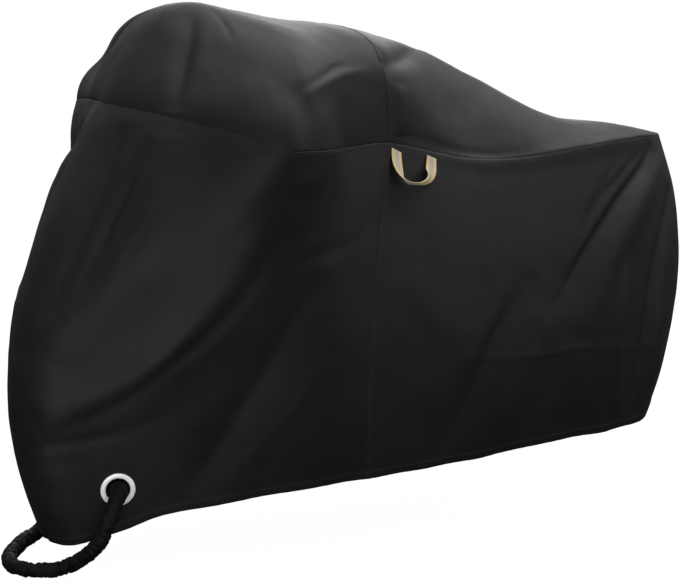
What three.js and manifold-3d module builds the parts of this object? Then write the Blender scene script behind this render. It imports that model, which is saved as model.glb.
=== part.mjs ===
// A fitted scooter cover as it hangs over a scooter: four sewn cloth panels with their drag folds, a
// pressed eyelet low on each side at the front, a webbing pull loop under the seat seam and a sleeved lock
// rope through the eyelets. Millimetres. +X runs to the scooter's rear, +Y to its right side and +Z up. The
// stations and heights below are measured from the ground under mid-length, and the finished cover is moved
// so that its origin is the point under the hood's crown where the scooter carries it.
import * as THREE from "three";
import { mergeVertices } from "three/addons/utils/BufferGeometryUtils.js";
import Module from "manifold-3d";

const wasm = await Module();
wasm.setup();

const CLOTH = 2;
const SEAM_GAP = 0.66;
const WELD = 1e-4;
const SIDE_ROWS = 18;
const TOP_ROWS = 7;
const SLOPE_STEP = 0.02;
const HOOD_CROWN = { x: -452, z: 1286 };

// One row for each station round the cover's left half, from nose to tail; the right half mirrors it.
// ridge: x and height of the middle line. edge: the seam between top and side cloth, as x, half width and
// height. belly and hem: the same for the side's middle and its lower border. roof: share of the half width
// that the top runs out level. wall: share of the top's drop that stands upright. cant: how much higher
// than the row the edge is on the right half, and lower on the left, where the bars lean. sag: how much lower
// the hem hangs on the right half. cells: lattice columns up to the next row.
const STATIONS = [
  {
    at: "nose", cells: 2, roof: 0.3, wall: 0.2, cant: 0, sag: 0,
    ridge: [-492, 1278], edge: [-648, 0, 1057], belly: [-943, 0, 430], hem: [-852, 0, 64],
  },
  {
    at: "cheek", cells: 4, roof: 0.36, wall: 0.22, cant: 8, sag: 0,
    ridge: [-480, 1283], edge: [-616, 150, 1053], belly: [-915, 72, 440], hem: [-830, 68, 63],
  },
  {
    at: "eyelet flank", cells: 4, roof: 0.46, wall: 0.27, cant: 14, sag: 0,
    ridge: [-460, 1288], edge: [-550, 300, 1033], belly: [-812, 146, 465], hem: [-742, 118, 90],
  },
  {
    at: "bar end", cells: 3, roof: 0.5, wall: 0.46, cant: 18, sag: 52,
    ridge: [-430, 1288], edge: [-475, 422, 1006], belly: [-640, 248, 510], hem: [-655, 165, 124],
  },
  {
    at: "behind the bar", cells: 3, roof: 0.66, wall: 0.7, cant: 12, sag: 80,
    ridge: [-330, 1266], edge: [-389, 404, 990], belly: [-430, 325, 525], hem: [-450, 240, 150],
  },
  {
    at: "knee", cells: 3, roof: 0.78, wall: 0.78, cant: 4, sag: 66,
    ridge: [-180, 1238], edge: [-215, 305, 966], belly: [-270, 348, 528], hem: [-290, 292, 166],
  },
  {
    at: "cross seam", cells: 5, roof: 0.84, wall: 0.78, cant: 0, sag: 30,
    ridge: [-40, 1217], edge: [-55, 254, 956], belly: [-175, 342, 520], hem: [-165, 312, 171],
  },
  {
    at: "seat front", cells: 4, roof: 0.4, wall: 0.1, cant: 0, sag: 10,
    ridge: [213, 1152], edge: [213, 208, 896], belly: [170, 332, 500], hem: [170, 305, 172],
  },
  {
    at: "seat middle", cells: 5, roof: 0.4, wall: 0.1, cant: 0, sag: 0,
    ridge: [420, 1060], edge: [410, 208, 882], belly: [415, 320, 500], hem: [420, 288, 177],
  },
  {
    at: "seat rear", cells: 4, roof: 0.45, wall: 0.15, cant: 0, sag: 0,
    ridge: [655, 952], edge: [671, 195, 894], belly: [680, 285, 510], hem: [650, 262, 174],
  },
  {
    at: "tail side", cells: 3, roof: 0.5, wall: 0.25, cant: 0, sag: 0,
    ridge: [860, 919], edge: [860, 145, 893], belly: [888, 228, 515], hem: [803, 236, 185],
  },
  {
    at: "tail corner", cells: 3, roof: 0.5, wall: 0.4, cant: 0, sag: 0,
    ridge: [965, 895], edge: [979, 84, 884], belly: [1006, 138, 520], hem: [898, 150, 262],
  },
  {
    at: "tail", cells: 0, roof: 0.5, wall: 0.4, cant: 0, sag: 0,
    ridge: [1002, 882], edge: [1043, 0, 876], belly: [1060, 0, 520], hem: [935, 0, 288],
  },
];
const TAIL = STATIONS.length - 1;
const CROSS_SEAM = STATIONS.findIndex((station) => station.at === "cross seam");

// One row for each main fold. path: places on the cloth that it runs through, each a station, negative on the
// right half, and a height, 0 at the hem, 1 at the edge seam and 2 at the ridge. width: half its breadth at
// the path's start and end. rise: positive for a ridge, negative for a trough.
const FOLDS = [
  {
    at: "front ridge", width: [46, 60], rise: 18,
    path: [[3.45, 0.88], [3.2, 0.63], [2.74, 0.46], [2.15, 0.37], [0.9, 0.3]],
  },
  {
    at: "trough under it", width: [26, 32], rise: -5,
    path: [[3.7, 0.78], [3.35, 0.57], [2.84, 0.41], [2.24, 0.32], [0.9, 0.25]],
  },
  {
    at: "second ridge", width: [30, 38], rise: 3,
    path: [[3.9, 0.7], [3.3, 0.46], [2.75, 0.34], [2.1, 0.25]],
  },
  {
    at: "side trough", width: [46, 50], rise: -11,
    path: [[4.5, 0.66], [4.06, 0.47], [3.55, 0.16], [3.35, 0.04]],
  },
  { at: "ridge behind it", path: [[4.95, 0.48], [4.44, 0.28], [3.7, 0.04]], width: [45, 55], rise: 3 },
  { at: "cheek swell", path: [[1.35, 0.97], [2.0, 0.72], [1.4, 0.44]], width: [55, 85], rise: 12 },
  {
    at: "left bar swell", width: [110, 110], rise: 24,
    path: [[-0.7, 1], [0.8, 1], [2.1, 1], [3.4, 1], [4.9, 1]],
  },
  {
    at: "nose drag, first", width: [28, 40], rise: -14,
    path: [[0.5, 0.97], [0.74, 0.84], [0.89, 0.7], [0.84, 0.54]],
  },
  {
    at: "nose drag, second", width: [24, 34], rise: -12,
    path: [[1.12, 0.95], [1.24, 0.81], [1.34, 0.7], [1.28, 0.57]],
  },
  {
    at: "tail drag", width: [22, 40], rise: -9,
    path: [[10.34, 0.97], [9.25, 0.83], [8.6, 0.68], [7.9, 0.44]],
  },
  {
    at: "tail swell", width: [30, 64], rise: 12,
    path: [[10.8, 0.93], [9.7, 0.81], [9.05, 0.67], [8.65, 0.52], [8.4, 0.36]],
  },
  {
    at: "tail upright trough", width: [26, 32], rise: -14,
    path: [[10.6, 0.82], [9.98, 0.67], [9.64, 0.5], [9.46, 0.26], [9.4, 0.04]],
  },
  {
    at: "tail upright ridge", width: [24, 32], rise: 9,
    path: [[9.15, 0.62], [8.97, 0.44], [8.94, 0.27], [9.05, 0.06]],
  },
  { at: "low rear trough", path: [[7.8, 0.62], [7.1, 0.36], [6.7, 0.04]], width: [32, 40], rise: -9 },
  { at: "ridge behind it", path: [[8.2, 0.56], [7.65, 0.3], [7.25, 0.06]], width: [50, 60], rise: 6 },
  { at: "seat seam roll", path: [[6.1, 0.99], [8.3, 0.99], [10.6, 0.99]], width: [22, 22], rise: 6 },
  { at: "hood middle crease", path: [[1.82, 1.86], [1.33, 1.48], [1.2, 1.08]], width: [24, 28], rise: -8 },
  {
    at: "left hood dip", width: [70, 75], rise: -15,
    path: [[2.6, 1.95], [2.8, 1.68], [3.0, 1.46], [3.2, 1.28], [3.5, 1.05], [3.7, 0.92]],
  },
  {
    at: "hood shoulder", width: [28, 38], rise: 3,
    path: [[6.02, 1.4], [5.66, 1.33], [5.23, 1.32], [4.5, 1.28], [3.7, 1.22]],
  },
  { at: "seat front lip", path: [[6.2, 1.04], [6.22, 1.16], [6.24, 1.32]], width: [26, 26], rise: 8 },
  { at: "seat front crease", path: [[7.2, 1.97], [6.52, 1.64], [6.0, 1.37]], width: [30, 26], rise: -10 },
  { at: "right front ridge", path: [[-3.7, 0.93], [-2.7, 0.56], [-1.5, 0.36]], width: [48, 66], rise: 19 },
  {
    at: "right trough under it", width: [32, 40], rise: -16,
    path: [[-3.8, 0.72], [-2.9, 0.41], [-1.7, 0.22]],
  },
  { at: "right side trough", path: [[-5.6, 0.74], [-4.7, 0.42], [-4.2, 0.06]], width: [58, 64], rise: -17 },
  { at: "right cheek hollow", path: [[-1.6, 0.99], [-1.9, 0.78], [-1.5, 0.56]], width: [62, 80], rise: -13 },
  { at: "right hollow", path: [[-0.7, 0.95], [-1.7, 0.89], [-3.2, 0.86]], width: [56, 66], rise: -22 },
  { at: "right nose drag", path: [[-1.3, 0.96], [-1.2, 0.78], [-0.8, 0.56]], width: [26, 36], rise: -12 },
  { at: "right hood dip", path: [[-3.6, 1.34], [-2.6, 1.36], [-1.6, 1.38]], width: [66, 66], rise: -23 },
  {
    at: "right hood shoulder", width: [28, 38], rise: -11,
    path: [[-5.9, 1.46], [-4.7, 1.33], [-3.2, 1.14]],
  },
  { at: "right seat crease", path: [[-6.2, 1.45], [-6.8, 1.62], [-7.5, 1.84]], width: [26, 32], rise: -10 },
  {
    at: "right seat seam roll", width: [22, 22], rise: 6,
    path: [[-6.2, 0.99], [-8.3, 0.99], [-10.5, 0.99]],
  },
  { at: "right tail drag", path: [[-10.9, 0.97], [-9.5, 0.76], [-8.7, 0.52]], width: [26, 36], rise: -13 },
  { at: "right tail swell", path: [[-10.7, 0.88], [-9.3, 0.58], [-8.6, 0.3]], width: [34, 66], rise: 11 },
  {
    at: "right tail upright", width: [26, 32], rise: -10,
    path: [[-10.6, 0.74], [-10.1, 0.42], [-9.9, 0.08]],
  },
  {
    at: "right low rear trough", width: [44, 50], rise: -14,
    path: [[-8.4, 0.56], [-8.1, 0.34], [-7.7, 0.05]],
  },
];
const FOLD_STEPS = 12;
const FOLD_FADE = 0.7;

// The eyelets, one on each side: two pressed flanges that hold the cloth flat between them.
const EYELET = {
  station: 2.25, height: 0.106, outer: 41, bore: 28.5, barrel: 1.4, flange: 2, crown: 0.6, rim: 4, throat: 3.5,
  clearance: 0.3,
};
const EYELET_PATCH = { radius: 46, thick: 4, bite: 0.6, depth: 1.5, cut: 32 };
const ROUND_SIDES = 28;

// The pull loop: a webbing strip whose ends lie flat under the seat seam and whose bottom stands off the cloth
// and turns edge on.
const LOOP = {
  first: 6.12, second: 6.567, drift: -0.045, height: 0.98, reach: 0.093, wide: 34, thick: 1.8, proud: 19,
  clearance: 3.8, fullness: 0.8, lean: 1.3, late: 0.95, slant: 0.98, twist: 2.5, steps: 20,
};

// The lock rope: a ring through both eyelets that hangs down outside and lies on the ground round the nose.
// Its two ends meet half way between the eyelets, inside the cover.
const ROPE = { radius: 17, sides: 10, steps: 44 };
const ROPE_ROUTE = [
  [-706, 0, 197], [-707, -45, 200], [-711, -80, 203], [-722, -101, 202], [-741, -115, 199],
  [-751, -133, 195], [-762, -155, 190], [-780, -167, 175], [-797, -175, 153], [-813, -177, 124],
  [-827, -170, 91], [-841, -150, 63], [-851, -124, 43], [-862, -98, 27], [-881, -86, 20], [-905, -80, 19],
  [-939, -54, 19], [-951, -9, 19], [-940, 36, 19], [-913, 80, 19], [-875, 125, 19], [-837, 162, 19],
  [-790, 204, 19], [-744, 232, 21], [-708, 243, 40], [-697, 240, 82], [-712, 228, 128], [-738, 205, 164],
  [-758, 183, 181], [-763, 158, 187], [-751, 134, 191], [-741, 115, 196], [-722, 101, 201], [-711, 80, 203],
  [-707, 45, 200], [-706, 0.6, 197],
];

const BLACK_CLOTH = { color: 0x1c1c1d, roughness: 0.55, metalness: 0 };
const BRIGHT_RING = { color: 0xe4e4e2, roughness: 0.25, metalness: 1 };
const GOLD_WEBBING = { color: 0xd9b877, roughness: 0.8, metalness: 0 };
const BLACK_SLEEVE = { color: 0x141414, roughness: 0.9, metalness: 0 };

// The station lines

// A closed line through one column of the stations, down the left half and back along the right.
function closedLine(pointOf) {
  const left = STATIONS.map((station) => pointOf(station, -1));
  const right = STATIONS.slice(1, TAIL).map((station) => pointOf(station, 1)).reverse();
  return new THREE.CatmullRomCurve3([...left, ...right], true, "centripetal");
}

const wideLine = (column, shift = () => 0) =>
  closedLine((station, side) => {
    const [x, halfWidth, z] = station[column];
    return new THREE.Vector3(x, side * halfWidth, z + shift(station, side));
  });

const LINES = {
  ridge: closedLine((station) => new THREE.Vector3(station.ridge[0], 0, station.ridge[1])),
  edge: wideLine("edge", (station, side) => side * station.cant),
  belly: wideLine("belly"),
  hem: wideLine("hem", (station, side) => (side > 0 ? -station.sag : 0)),
  shape: closedLine((station) => new THREE.Vector3(station.roof, station.wall, 0)),
};

function onLine(name, station) {
  const turns = station / (2 * TAIL);
  return LINES[name].getPoint(turns < 0 ? turns + 1 : turns);
}

// A point of the unfolded cloth form: the side is a curve from the hem through the belly to the edge, and
// the top one from the edge up and over to the ridge.
function formPoint(station, height) {
  const edge = onLine("edge", station);
  if (height <= 1) {
    const belly = onLine("belly", station);
    const hem = onLine("hem", station);
    const at = (edge.z - belly.z) / (edge.z - hem.z);
    const pull = belly
      .addScaledVector(edge, -((1 - at) ** 2))
      .addScaledVector(hem, -(at ** 2))
      .divideScalar(2 * at * (1 - at));
    return new THREE.QuadraticBezierCurve3(hem, pull, edge).getPoint(height);
  }
  const ridge = onLine("ridge", station);
  const shape = onLine("shape", station);
  const upright = edge.clone().setZ(edge.z + shape.y * (ridge.z - edge.z));
  const level = ridge.clone().lerp(edge, shape.x).setZ(ridge.z);
  return new THREE.CubicBezierCurve3(edge, upright, level, ridge).getPoint(height - 1);
}

// The lattice of the whole cover

const leftColumns = STATIONS.slice(0, TAIL).flatMap((station, index) =>
  Array.from({ length: station.cells }, (_, cell) => index + cell / station.cells),
);
const COLUMNS = [...leftColumns, TAIL, ...leftColumns.slice(1).reverse().map((station) => -station)];
const ROWS = SIDE_ROWS + TOP_ROWS;

const rowHeight = (row) => (row <= SIDE_ROWS ? row / SIDE_ROWS : 1 + (row - SIDE_ROWS) / TOP_ROWS);

// The two halves share their points on the ridge.
function latticeIndex(column, row) {
  const around = column % COLUMNS.length;
  const onRidge = row === ROWS && around > leftColumns.length;
  return row * COLUMNS.length + (onRidge ? COLUMNS.length - around : around);
}

function cellTriangles(column, row) {
  const a = latticeIndex(column, row);
  const b = latticeIndex(column + 1, row);
  const c = latticeIndex(column + 1, row + 1);
  const d = latticeIndex(column, row + 1);
  return [[a, b, c], [a, c, d]];
}

const CELLS = COLUMNS.flatMap((_, column) => Array.from({ length: ROWS }, (_, row) => ({ column, row })));

function latticeNormals(points) {
  const geometry = new THREE.BufferGeometry().setFromPoints(points);
  geometry.setIndex(CELLS.flatMap(({ column, row }) => cellTriangles(column, row).flat()));
  geometry.computeVertexNormals();
  const { normal } = geometry.attributes;
  return points.map((_, index) => new THREE.Vector3().fromBufferAttribute(normal, index));
}

// Folds

const foldLines = FOLDS.map((fold) => {
  const path = new THREE.SplineCurve(fold.path.map((place) => new THREE.Vector2(...place)));
  return { ...fold, points: path.getPoints(FOLD_STEPS).map(({ x, y }) => formPoint(x, y)) };
});

// How far the folds lift a point: full along the middle of each fold, fading to its ends and over its
// width.
function foldRise(point) {
  let rise = 0;
  const nearest = new THREE.Vector3();
  for (const fold of foldLines) {
    let away = Infinity;
    let along = 0;
    for (let step = 0; step < FOLD_STEPS; step++) {
      const segment = new THREE.Line3(fold.points[step], fold.points[step + 1]);
      const share = segment.closestPointToPointParameter(point, true);
      const distance = segment.at(share, nearest).distanceTo(point);
      if (distance < away) {
        away = distance;
        along = (step + share) / FOLD_STEPS;
      }
    }
    const width = THREE.MathUtils.lerp(...fold.width, along);
    rise += fold.rise * Math.exp(-((away / width) ** 2)) * Math.sin(Math.PI * along) ** FOLD_FADE;
  }
  return rise;
}

const formLattice = Array.from({ length: ROWS + 1 }, (_, row) =>
  COLUMNS.map((station) => formPoint(station, rowHeight(row))),
).flat();
const formNormals = latticeNormals(formLattice);
const LATTICE = formLattice.map((point, index) =>
  point.clone().addScaledVector(formNormals[index], foldRise(point)),
);
const NORMALS = latticeNormals(LATTICE);

// The outer face's point and outward direction at a place on the folded cloth.
function clothFrame(station, height) {
  const point = formPoint(station, height);
  const along = formPoint(station + SLOPE_STEP, height).sub(formPoint(station - SLOPE_STEP, height));
  const up = formPoint(station, height + SLOPE_STEP).sub(formPoint(station, height - SLOPE_STEP));
  const out = along.cross(up).normalize();
  return { point: point.clone().addScaledVector(out, foldRise(point)), out };
}

// Solids

function meshGeometry(points, triangles) {
  const geometry = new THREE.BufferGeometry().setFromPoints(points);
  return geometry.setIndex(triangles.flat());
}

function toSolid(geometry) {
  const bare = geometry.clone().deleteAttribute("normal").deleteAttribute("uv");
  const merged = mergeVertices(bare, WELD);
  return new wasm.Manifold(
    new wasm.Mesh({
      numProp: 3,
      vertProperties: new Float32Array(merged.attributes.position.array),
      triVerts: new Uint32Array(merged.index.array),
    }),
  );
}

function toGeometry(solid) {
  const mesh = solid.getMesh();
  const geometry = new THREE.BufferGeometry();
  geometry.setAttribute("position", new THREE.BufferAttribute(mesh.vertProperties, 3));
  geometry.setIndex(new THREE.BufferAttribute(mesh.triVerts, 1));
  return geometry;
}

// One sewn panel: its lattice cells with a cloth's thickness inwards, drawn back half a gap along its
// borders.
function panelGeometry(inPanel) {
  const cells = CELLS.filter(({ column, row }) => inPanel(COLUMNS[column], row));
  const triangles = cells.flatMap(({ column, row }) => cellTriangles(column, row));
  const directed = new Map();
  const pulls = new Map();
  for (const triangle of triangles) {
    const middle = new THREE.Vector3();
    triangle.forEach((index) => middle.addScaledVector(LATTICE[index], 1 / 3));
    triangle.forEach((index, corner) => {
      const next = triangle[(corner + 1) % 3];
      directed.set(`${index} ${next}`, [index, next]);
      const pull = pulls.get(index) ?? new THREE.Vector3();
      pulls.set(index, pull.add(middle.clone().sub(LATTICE[index]).normalize()));
    });
  }
  const border = [...directed.values()].filter(([from, to]) => !directed.has(`${to} ${from}`));
  const onBorder = new Set(border.flat());

  const indices = [...pulls.keys()];
  const order = new Map(indices.map((index, place) => [index, place]));
  const outer = indices.map((index) => {
    const shift = onBorder.has(index) ? SEAM_GAP / 2 : 0;
    return LATTICE[index].clone().addScaledVector(pulls.get(index).normalize(), shift);
  });
  const inner = outer.map((point, place) => point.clone().addScaledVector(NORMALS[indices[place]], -CLOTH));
  const outside = (index) => order.get(index);
  const inside = (index) => order.get(index) + indices.length;

  const faces = [
    ...triangles.map((triangle) => triangle.map(outside)),
    ...triangles.map(([a, b, c]) => [inside(c), inside(b), inside(a)]),
    ...border.flatMap(([from, to]) => [
      [outside(to), outside(from), inside(from)],
      [outside(to), inside(from), inside(to)],
    ]),
  ];
  return meshGeometry([...outer, ...inner], faces);
}

const isFront = (station) => station >= -CROSS_SEAM && station < CROSS_SEAM;
const isSide = (row) => row < SIDE_ROWS;

const SIDES = [
  { side: "left", frame: clothFrame(EYELET.station, EYELET.height) },
  { side: "right", frame: clothFrame(-EYELET.station, EYELET.height) },
];

// Turns a shape made round the Y axis to stand in the cloth at an eyelet.
function atEyelet(geometry, { point, out }) {
  const turn = new THREE.Quaternion().setFromUnitVectors(new THREE.Vector3(0, 1, 0), out);
  const place = point.clone().addScaledVector(out, -EYELET_PATCH.depth);
  return geometry.clone().applyQuaternion(turn).translate(place.x, place.y, place.z);
}

const disc = (radius, thick) => new THREE.CylinderGeometry(radius, radius, thick, ROUND_SIDES);

// The front panel, pressed flat where the eyelets grip it.
function frontPanelGeometry() {
  const { radius, thick, bite, cut } = EYELET_PATCH;
  const holeRadius = EYELET.bore + EYELET.barrel + EYELET.clearance;
  let cloth = toSolid(panelGeometry((station, row) => isFront(station) && isSide(row)));
  for (const { frame } of SIDES) {
    const cutOut = toSolid(atEyelet(disc(radius - bite, cut), frame));
    const patch = toSolid(atEyelet(disc(radius, thick), frame));
    const hole = toSolid(atEyelet(disc(holeRadius, cut), frame));
    cloth = cloth.subtract(cutOut).add(patch).subtract(hole);
  }
  return toGeometry(cloth);
}

// The eyelet's section: a barrel with a rounded flange on each side of the cloth.
function eyeletGeometry(frame) {
  const cloth = EYELET_PATCH.thick / 2 + EYELET.clearance;
  const face = cloth + EYELET.flange;
  const barrel = EYELET.bore + EYELET.barrel;
  const half = [
    [barrel, cloth],
    [EYELET.outer, cloth],
    [EYELET.outer - EYELET.crown, face - EYELET.crown],
    [EYELET.outer - EYELET.rim, face + EYELET.crown],
    [EYELET.bore + EYELET.throat, face + EYELET.crown],
    [EYELET.bore + EYELET.crown, face - EYELET.crown],
    [EYELET.bore, 0],
  ];
  const lower = half.slice(0, -1).map(([radius, level]) => [radius, -level]).reverse();
  const section = [...half, ...lower, half[0]].map(([radius, level]) => new THREE.Vector2(radius, level));
  return atEyelet(new THREE.LatheGeometry(section, ROUND_SIDES), frame);
}

// A strip swept down from the seam and up again, turned from lying along the cloth to standing off it.
function pullLoopGeometry() {
  const shares = Array.from({ length: LOOP.steps + 1 }, (_, step) => step / LOOP.steps);
  const places = shares.map((share) => {
    const swing = Math.sin(Math.PI * share);
    const across = THREE.MathUtils.lerp(LOOP.first, LOOP.second, (1 - Math.cos(Math.PI * share)) / 2);
    const station = across + LOOP.drift * swing ** 2;
    const { point, out } = clothFrame(station, LOOP.height - LOOP.reach * swing ** LOOP.fullness);
    const stand = Math.sin(Math.PI * share ** LOOP.late) ** LOOP.lean;
    const lift = LOOP.clearance + LOOP.thick / 2 + LOOP.proud * stand;
    return { centre: point.addScaledVector(out, lift), out, turn: LOOP.slant * swing ** LOOP.twist };
  });
  const points = places.flatMap(({ centre, out, turn }, step) => {
    const before = places[Math.max(step - 1, 0)].centre;
    const after = places[Math.min(step + 1, LOOP.steps)].centre;
    const forward = after.clone().sub(before).normalize();
    const level = new THREE.Vector3(0, 0, 1).cross(out);
    const across = level.multiplyScalar(Math.cos(turn)).addScaledVector(out, -Math.sin(turn));
    across.projectOnPlane(forward).normalize();
    const through = forward.clone().cross(across);
    return [[-1, -1], [1, -1], [1, 1], [-1, 1]].map(([side, layer]) =>
      centre
        .clone()
        .addScaledVector(across, (side * LOOP.wide) / 2)
        .addScaledVector(through, (layer * LOOP.thick) / 2),
    );
  });
  const last = 4 * LOOP.steps;
  const faces = [[0, 2, 1], [0, 3, 2], [last, last + 1, last + 2], [last, last + 2, last + 3]];
  for (let step = 0; step < LOOP.steps; step++)
    for (let corner = 0; corner < 4; corner++) {
      const a = 4 * step + corner;
      const b = 4 * step + ((corner + 1) % 4);
      faces.push([a, b, b + 4], [a, b + 4, a + 4]);
    }
  return meshGeometry(points, faces);
}

function ropeGeometry() {
  const places = ROPE_ROUTE.map((point) => new THREE.Vector3(...point));
  const route = new THREE.CatmullRomCurve3(places, false, "centripetal");
  const section = new THREE.Shape();
  for (let side = 0; side < ROPE.sides; side++) {
    const angle = (2 * Math.PI * side) / ROPE.sides;
    const corner = [ROPE.radius * Math.cos(angle), ROPE.radius * Math.sin(angle)];
    if (side === 0) section.moveTo(...corner);
    else section.lineTo(...corner);
  }
  section.closePath();
  return new THREE.ExtrudeGeometry(section, { steps: ROPE.steps, extrudePath: route, bevelEnabled: false });
}

function named(name, geometry, finish) {
  const mesh = new THREE.Mesh(geometry, new THREE.MeshStandardMaterial(finish));
  mesh.name = name;
  return mesh;
}

const cover = new THREE.Group();
cover.position.set(-HOOD_CROWN.x, 0, -HOOD_CROWN.z);
cover.add(
  named("hood_panel", panelGeometry((station, row) => isFront(station) && !isSide(row)), BLACK_CLOTH),
  named("seat_panel", panelGeometry((station, row) => !isFront(station) && !isSide(row)), BLACK_CLOTH),
  named("front_panel", frontPanelGeometry(), BLACK_CLOTH),
  named("rear_panel", panelGeometry((station, row) => !isFront(station) && isSide(row)), BLACK_CLOTH),
  ...SIDES.map(({ side, frame }) => named(`eyelet_${side}`, eyeletGeometry(frame), BRIGHT_RING)),
  named("pull_loop", pullLoopGeometry(), GOLD_WEBBING),
  named("lock_rope", ropeGeometry(), BLACK_SLEEVE),
);

const part = new THREE.Group();
part.add(cover);
export default part;
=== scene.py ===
"""Looks of the draped scooter cover: sewn panels, eyelets, a webbing pull loop and a sleeved lock rope.

Lengths are metres, but the tables of stations, folds, creases and the rope's route are in millimetres. They
stand on the ground under the cover, with +X to its tail and +Z up.
"""
import math
from collections import namedtuple
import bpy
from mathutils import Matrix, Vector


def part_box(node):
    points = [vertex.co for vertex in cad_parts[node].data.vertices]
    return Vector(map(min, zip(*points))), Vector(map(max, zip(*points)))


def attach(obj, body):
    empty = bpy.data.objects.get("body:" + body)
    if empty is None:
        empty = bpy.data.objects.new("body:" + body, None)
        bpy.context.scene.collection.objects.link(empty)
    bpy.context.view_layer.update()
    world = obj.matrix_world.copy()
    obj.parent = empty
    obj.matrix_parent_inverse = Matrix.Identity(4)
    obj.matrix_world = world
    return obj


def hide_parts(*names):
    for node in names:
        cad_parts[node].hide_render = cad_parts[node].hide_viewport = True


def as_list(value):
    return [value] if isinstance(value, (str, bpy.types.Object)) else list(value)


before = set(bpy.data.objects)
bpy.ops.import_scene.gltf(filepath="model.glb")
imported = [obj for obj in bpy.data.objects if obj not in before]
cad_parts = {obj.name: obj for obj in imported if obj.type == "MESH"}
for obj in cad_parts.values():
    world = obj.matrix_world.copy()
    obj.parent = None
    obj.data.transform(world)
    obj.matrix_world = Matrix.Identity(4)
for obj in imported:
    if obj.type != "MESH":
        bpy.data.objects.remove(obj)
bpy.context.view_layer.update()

from types import SimpleNamespace as Sizes

import bpy
import numpy as np
from mathutils import Matrix, Vector, noise

# The point of the tables that is the frame's origin, under the top of the hood.
HOOD_CROWN = (-452, 0, 1286)
MM_IN_METRE = 1000

# The photograph's view: angles in degrees, then metres and millimetres of lens.
VIEW = Sizes(azimuth=-38, elevation=9.5, distance=8, lens=173, sensor=36, aim=(0.452, 0, -0.721))

# Stations of the left half from nose to tail; the right half mirrors them, its edge canted the other way
# and its hem lower by the sag. Cells run to the next station, and roof and wall fill out the top's curve.
Station = namedtuple("Station", "cells roof wall cant sag ridge edge belly hem")
STATIONS = {
    "nose": Station(2, 0.3, 0.2, 0, 0, (-492, 1278), (-648, 0, 1057), (-943, 0, 430), (-852, 0, 64)),
    "cheek": Station(4, 0.36, 0.22, 8, 0, (-480, 1283), (-616, 150, 1053), (-915, 72, 440), (-830, 68, 63)),
    "eyelet flank": Station(4, 0.46, 0.27, 14, 0,
        (-460, 1288), (-550, 300, 1033), (-812, 146, 465), (-742, 118, 90)),
    "bar end": Station(3, 0.5, 0.46, 18, 52,
        (-430, 1288), (-475, 422, 1006), (-640, 248, 510), (-655, 165, 124)),
    "behind the bar": Station(3, 0.66, 0.7, 12, 80,
        (-330, 1266), (-389, 404, 990), (-430, 325, 525), (-450, 240, 150)),
    "knee": Station(3, 0.78, 0.78, 4, 66,
        (-180, 1238), (-215, 305, 966), (-270, 348, 528), (-290, 292, 166)),
    "cross seam": Station(5, 0.84, 0.78, 0, 30,
        (-40, 1217), (-55, 254, 956), (-175, 342, 520), (-165, 312, 171)),
    "seat front": Station(4, 0.4, 0.1, 0, 10,
        (213, 1152), (213, 208, 896), (170, 332, 500), (170, 305, 172)),
    "seat middle": Station(5, 0.4, 0.1, 0, 0,
        (420, 1060), (410, 208, 882), (415, 320, 500), (420, 288, 177)),
    "seat rear": Station(4, 0.45, 0.15, 0, 0,
        (655, 952), (671, 195, 894), (680, 285, 510), (650, 262, 174)),
    "tail side": Station(3, 0.5, 0.25, 0, 0, (860, 919), (860, 145, 893), (888, 228, 515), (803, 236, 185)),
    "tail corner": Station(3, 0.5, 0.4, 0, 0,
        (965, 895), (979, 84, 884), (1006, 138, 520), (898, 150, 262)),
    "tail": Station(0, 0.5, 0.4, 0, 0, (1002, 882), (1043, 0, 876), (1060, 0, 520), (935, 0, 288)),
}

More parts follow.
